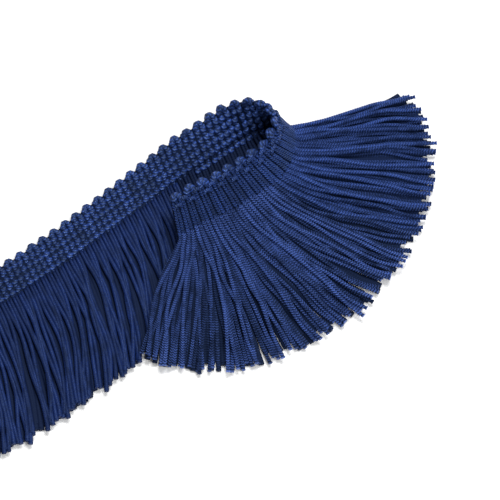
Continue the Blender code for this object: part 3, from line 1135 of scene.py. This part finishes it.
def fringes(heading: Heading) -> list[Fringe]:
    """Lists the four stretches of the fringe.

    Args:
        heading: The heading from which they hang.

    Returns:
        The stretches, from the tail to the free end.
    """
    tail = Fringe(
        heading, "tail_strands", "fringe_tail", TAIL_YARN,
        (
            Lay(0.0, -75.0, 61.0, 0.0, 0.9, False),
            Lay(2.3, -75.5, 59.0, 0.0, 0.9, False),
            TAIL_MEETS_INNER,
        ),
        (FLAT_BASE, Layer(Face.LOOPED, 1, SMOOTH, None, 0.42, (2.0, 8.0))),
        half_width=0.9 * MM, half_height=0.70 * MM, aim_spread=2.0, wander=0.9 * MM,
    )
    inner = Fringe(
        heading, "inner_strands", "fringe_inner", TAIL_YARN,
        (
            TAIL_MEETS_INNER,
            Lay(6.3, -74.0, 59.0, 0.0, 0.9, False),
            Lay(8.0, -56.0, 54.0, 0.0, 0.3, True),
            Lay(9.4, -14.0, 45.0, 0.0, 0.3, True),
        ),
        # The top strands in the hollow are darkened as painted shade.
        (FLAT_BASE, Layer(Face.LOOPED, 1, SMOOTH, None, 0.3, tone_range_and_shade=PAINTED_SHADE)),
        half_width=0.85 * MM, half_height=0.7 * MM, aim_spread=1.0, wander=0.4 * MM,
    )
    right = Fringe(
        heading, "right_strands", "fringe_right", RIGHT_YARN,
        (
            Lay(10.0, 21.5, 52.0, 2.5, 0.92, False, 3.2),
            Lay(11.5, 7.5, 55.0, 2.2, 0.92, False),
            Lay(13.0, -3.5, 58.0, 1.9, 0.92, False),
            RIGHT_MEETS_FRONT,
        ),
        fan_layers(1.75 * MM, (0.0, 0.0)),
        half_width=0.86 * MM, half_height=0.74 * MM, aim_spread=2.1, wander=1.0 * MM,
    )
    front = Fringe(
        heading, "front_strands", "fringe_front", FRONT_YARN,
        (
            RIGHT_MEETS_FRONT,
            Lay(16.0, -38.0, 65.0, 3.5, 0.9, True),
            Lay(17.5, -65.0, 65.5, 3.5, 0.86, True),
            Lay(19.0, -109.0, 56.0, 3.5, 1.15, True, -0.42),
        ),
        fan_layers(2.0 * MM, (0.10, 0.06)),
        half_width=0.86 * MM, half_height=0.78 * MM, aim_spread=2.7, wander=1.3 * MM,
    )
    return [tail, inner, right, front]


@dataclass(frozen=True)
class Lamp:
    """One soft lamp of the studio."""

    name: str
    bearing: float
    elevation: float
    distance: float
    size: float
    watts: float
    colour: tuple[float, float, float]


@dataclass(frozen=True)
class Studio:
    """The pale table, the soft lamps and the camera."""

    aim: tuple[float, float, float] = (-TABLE_MIDDLE[0] * MM, -TABLE_MIDDLE[1] * MM, 0.0)
    camera_elevation: float = 60.0
    camera_distance: float = 4.0
    view_width: float = 0.20375
    sensor: float = 36.0
    table_size: float = 3.0
    table_grey: float = 0.93
    table_roughness: float = 0.9
    table_specular: float = 0.1
    clip: Pair = (0.1, 20.0)
    sky: float = 0.22
    lamps: tuple[Lamp, ...] = (
        Lamp("back_lamp", 70.0, 70.0, 1.2, 0.75, 15.0, (1.0, 1.0, 1.0)),
        Lamp("front_lamp", -60.0, 50.0, 1.2, 0.75, 9.0, (1.0, 1.0, 0.99)),
    )

    def camera(self) -> None:
        """Sets the camera at the photograph's angle, far off with a long lens."""
        data = bpy.data.cameras.new("studio_camera")
        data.sensor_width = self.sensor
        data.lens = self.sensor * self.camera_distance / self.view_width
        data.clip_start, data.clip_end = self.clip
        camera = placed("studio_camera", data)
        tilt = math.radians(self.camera_elevation)
        back = Vector((0.0, -math.cos(tilt), math.sin(tilt)))
        camera.location = Vector(self.aim) + back * self.camera_distance
        camera.rotation_euler = (-back).to_track_quat("-Z", "Y").to_euler()
        bpy.context.scene.camera = camera

    def table(self) -> None:
        """Lays the pale table top under the trim."""
        bm = bmesh.new()
        bmesh.ops.create_grid(bm, x_segments=2, y_segments=2, size=self.table_size / 2.0)
        mesh = bpy.data.meshes.new("table_top")
        bm.to_mesh(mesh)
        bm.free()
        top = placed("table_top", mesh)
        material = bpy.data.materials.new("pale_table")
        material.use_nodes = True
        look = {
            "Base Color": (self.table_grey, self.table_grey, self.table_grey, 1.0),
            "Roughness": self.table_roughness,
            "Specular IOR Level": self.table_specular,
        }
        Wiring(material.node_tree).feed(material.node_tree.nodes["Principled BSDF"], look)
        mesh.materials.append(material)

    def light(self) -> None:
        """Hangs the lamps and sets the even sky."""
        world = bpy.data.worlds.new("studio_sky")
        world.use_nodes = True
        background = world.node_tree.nodes["Background"]
        background.inputs["Color"].default_value = (1.0, 1.0, 1.0, 1.0)
        background.inputs["Strength"].default_value = self.sky
        bpy.context.scene.world = world
        for lamp in self.lamps:
            data = bpy.data.lights.new(lamp.name, "AREA")
            data.shape = "DISK"
            data.size = lamp.size
            data.energy = lamp.watts
            data.color = lamp.colour
            lit = placed(lamp.name, data)
            way = Vector(unit(lamp.bearing, -lamp.elevation))
            lit.location = Vector(self.aim) + way * lamp.distance
            lit.rotation_euler = way.to_track_quat("Z", "Y").to_euler()
            lit.visible_camera = False

    def build(self) -> None:
        """Sets up the whole studio."""
        bpy.context.scene.view_settings.view_transform = "Standard"
        self.camera()
        self.table()
        self.light()


def clear_start() -> None:
    """Takes out the objects of the start-up scene."""
    for thing in list(bpy.data.objects):
        bpy.data.objects.remove(thing, do_unlink=True)


def main() -> None:
    """Builds the trim on its table, piece by piece."""
    logging.basicConfig(level=logging.INFO, format="%(message)s")
    clear_start()
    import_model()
    Studio().build()
    materials = Materials()
    heading = Heading(Spine())
    parts = heading.build(materials)
    draw = random.Random(SEED)
    hung = [fringe.build(materials, draw) for fringe in fringes(heading)]


if __name__ == "__main__":
    main()
